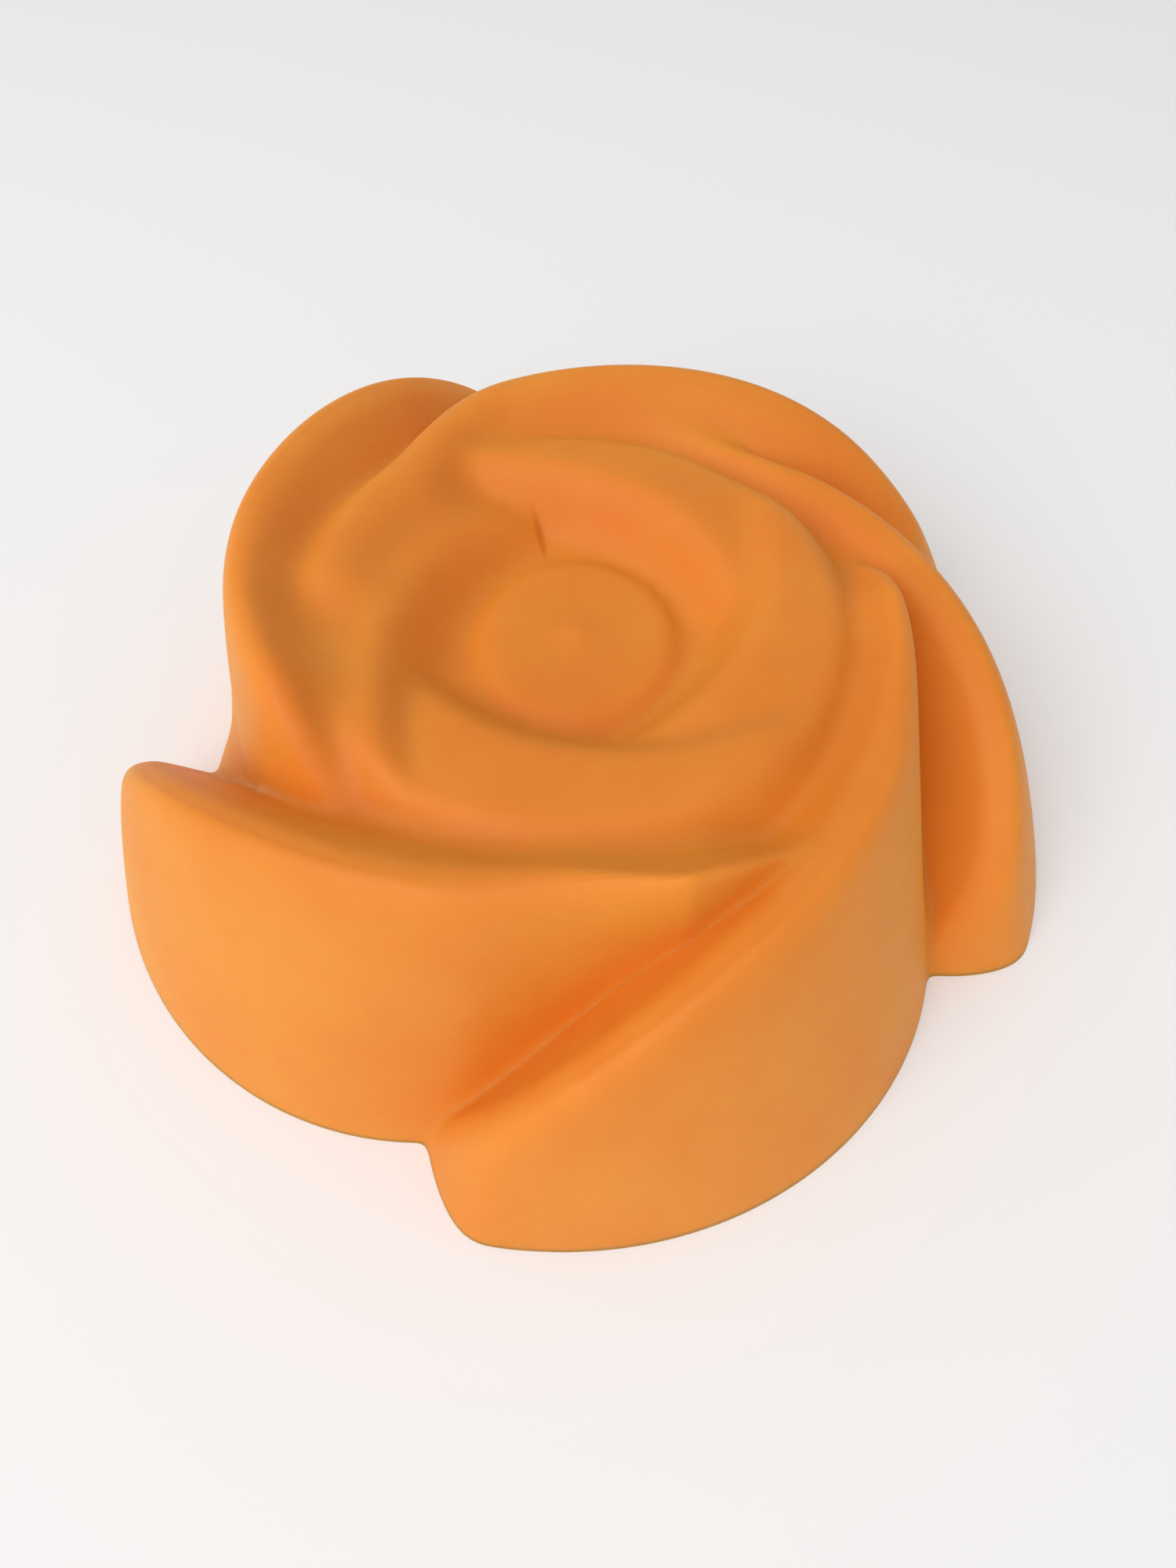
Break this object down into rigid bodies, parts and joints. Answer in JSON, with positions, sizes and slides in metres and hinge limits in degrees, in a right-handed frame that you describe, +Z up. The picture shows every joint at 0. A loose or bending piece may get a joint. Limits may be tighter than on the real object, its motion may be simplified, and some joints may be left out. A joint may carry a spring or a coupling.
{
  "type": "rose-shaped baking cup",
  "caption": "Small flexible baking cup moulded as an open rose, with overlapping spiral petals round a flat centre; shown upside down, resting on its open rim.",
  "frame": {"origin": "centre of the bounding box in plan, on the plane of the open rim that the cup rests on", "axes": "+Z up from the rim to the base disc; -Y towards the viewer of the rest pose, +X to the viewer's right"},
  "size_m": [0.0678, 0.0694, 0.0217],
  "materials": {
    "silicone": "frosted translucent orange silicone"
  },
  "bodies": {
    "root": {"rose_cup": "silicone"}
  },
  "joints": []
}
